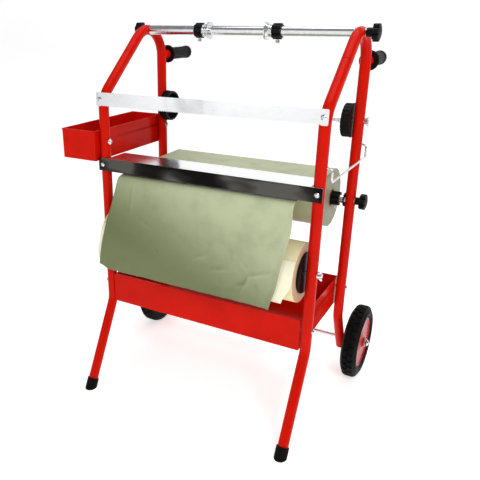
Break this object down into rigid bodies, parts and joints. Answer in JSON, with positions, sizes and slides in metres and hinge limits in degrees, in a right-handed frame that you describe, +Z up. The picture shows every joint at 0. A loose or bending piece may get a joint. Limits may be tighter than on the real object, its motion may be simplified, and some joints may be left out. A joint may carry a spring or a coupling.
{
  "type": "roll dispenser trolley",
  "caption": "Wheeled tube-frame stand that carries wide rolls of masking paper and film, with cutting strips, trays, tape hubs and push handles",
  "frame": {"origin": "on the floor under the middle of the whole stand, 18 mm left of the plane midway between the two side frames and 144.5 mm behind the front legs", "axes": "+X to the user's right as they face the cutting strips, across the rolls; -Y to the front, where the sheet hangs; +Z up"},
  "size_m": [0.7385, 0.5477, 0.919],
  "materials": {
    "red_coat": "glossy powder coat",
    "rim_paint": "glossy paint",
    "chrome_plate": "bright zinc or chrome plate",
    "bright_steel": "polished strip",
    "black_plastic": "moulded, satin",
    "foot_rubber": "matt",
    "tyre_rubber": "matt",
    "green_paper": "smooth coated",
    "cream_paper": "smooth coated",
    "core_board": "raw board"
  },
  "bodies": {
    "frame": {"front_leg_left": "red_coat", "front_leg_right": "red_coat", "bow_tube_left": "red_coat", "bow_tube_right": "red_coat", "foot_caps": "foot_rubber", "handle_stubs": "red_coat", "grip_left": "black_plastic", "grip_right": "black_plastic", "upper_cutter": "bright_steel", "lower_cutter": "bright_steel", "cutter_screws": "chrome_plate", "side_tray": "red_coat", "side_tray_bolts": "chrome_plate", "bottom_tray": "red_coat", "bottom_tray_bolts": "chrome_plate", "top_rod": "chrome_plate", "roll_rod": "chrome_plate", "rod_washers": "black_plastic", "hanging_sheet": "green_paper", "film_flap": "cream_paper", "film_bolts": "chrome_plate", "film_nut_left": "chrome_plate", "tape_bolts": "chrome_plate", "wheel_axle": "chrome_plate", "axle_spacers": "black_plastic", "axle_caps": "chrome_plate", "side_rail": "chrome_plate"},
    "wheel_left": {"tyre_left": "tyre_rubber", "wheel_rim_left": "rim_paint"},
    "wheel_right": {"tyre_right": "tyre_rubber", "wheel_rim_right": "rim_paint"},
    "paper": {"paper_roll": "green_paper", "paper_core": "core_board"},
    "film": {"film_roll": "cream_paper", "film_core": "core_board", "roll_hub_left": "black_plastic", "roll_hub_right": "black_plastic"},
    "tape_left": {"tape_hub_left": "black_plastic"},
    "tape_right": {"tape_hub_right": "black_plastic"},
    "top_adaptor_left": {"top_collar_left": "black_plastic", "top_screw_left": "chrome_plate", "top_cone_left": "chrome_plate"},
    "top_adaptor_right": {"top_collar_right": "black_plastic", "top_screw_right": "chrome_plate", "top_cone_right": "chrome_plate"},
    "rod_adaptor_left": {"rod_collar_left": "black_plastic", "rod_screw_left": "chrome_plate", "rod_cone_left": "chrome_plate"},
    "rod_adaptor_right": {"rod_collar_right": "black_plastic", "rod_screw_right": "chrome_plate", "rod_cone_right": "chrome_plate"},
    "top_knob_l": {"top_knob_left": "black_plastic"},
    "top_knob_r": {"top_knob_right": "black_plastic"},
    "rod_knob_l": {"rod_knob_left": "black_plastic"},
    "rod_knob_r": {"rod_knob_right": "black_plastic"},
    "film_wing": {"film_wing_nut": "chrome_plate"},
    "tape_wing_left": {"tape_wing_nut_left": "chrome_plate"},
    "tape_wing_right": {"tape_wing_nut_right": "chrome_plate"}
  },
  "joints": [
    {"name": "wheel_spin_left", "type": "hinge", "parent": "frame", "child": "wheel_left", "pos_m": [-0.302, 0.16769, 0.1], "axis": [1, 0, 0], "continuous": true},
    {"name": "wheel_spin_right", "type": "hinge", "parent": "frame", "child": "wheel_right", "pos_m": [0.338, 0.16769, 0.1], "axis": [1, 0, 0], "continuous": true},
    {"name": "paper_spin", "type": "hinge", "parent": "frame", "child": "paper", "pos_m": [0.018, 0.121, 0.508], "axis": [1, 0, 0], "continuous": true},
    {"name": "film_spin", "type": "hinge", "parent": "frame", "child": "film", "pos_m": [0.018, -0.1445, 0.411], "axis": [1, 0, 0], "continuous": true},
    {"name": "tape_spin_left", "type": "hinge", "parent": "frame", "child": "tape_left", "pos_m": [-0.23, 0.121, 0.702], "axis": [1, 0, 0], "continuous": true},
    {"name": "tape_spin_right", "type": "hinge", "parent": "frame", "child": "tape_right", "pos_m": [0.266, 0.121, 0.702], "axis": [1, 0, 0], "continuous": true},
    {"name": "top_knob_turn_left", "type": "hinge", "parent": "frame", "child": "top_knob_l", "pos_m": [-0.282, 0.053, 0.89895], "axis": [-1, 0, 0], "continuous": true},
    {"name": "top_knob_turn_right", "type": "hinge", "parent": "frame", "child": "top_knob_r", "pos_m": [0.318, 0.053, 0.89895], "axis": [1, 0, 0], "continuous": true},
    {"name": "rod_knob_turn_left", "type": "hinge", "parent": "frame", "child": "rod_knob_l", "pos_m": [-0.282, 0.121, 0.508], "axis": [-1, 0, 0], "continuous": true},
    {"name": "rod_knob_turn_right", "type": "hinge", "parent": "frame", "child": "rod_knob_r", "pos_m": [0.318, 0.121, 0.508], "axis": [1, 0, 0], "continuous": true},
    {"name": "film_wing_turn", "type": "hinge", "parent": "frame", "child": "film_wing", "pos_m": [0.308, -0.1445, 0.411], "axis": [1, 0, 0], "continuous": true},
    {"name": "tape_wing_turn_left", "type": "hinge", "parent": "frame", "child": "tape_wing_left", "pos_m": [-0.272, 0.121, 0.702], "axis": [-1, 0, 0], "continuous": true},
    {"name": "tape_wing_turn_right", "type": "hinge", "parent": "frame", "child": "tape_wing_right", "pos_m": [0.308, 0.121, 0.702], "axis": [1, 0, 0], "continuous": true},
    {"name": "top_adaptor_slide_left", "type": "slide", "parent": "frame", "child": "top_adaptor_left", "axis": [-1, 0, 0], "range_m": [-0.03, 0.12]},
    {"name": "top_adaptor_slide_right", "type": "slide", "parent": "frame", "child": "top_adaptor_right", "axis": [1, 0, 0], "range_m": [-0.03, 0.15]},
    {"name": "rod_adaptor_slide_left", "type": "slide", "parent": "frame", "child": "rod_adaptor_left", "axis": [-1, 0, 0], "range_m": [0, 0.0085]},
    {"name": "rod_adaptor_slide_right", "type": "slide", "parent": "frame", "child": "rod_adaptor_right", "axis": [1, 0, 0], "range_m": [0, 0.0085]}
  ]
}
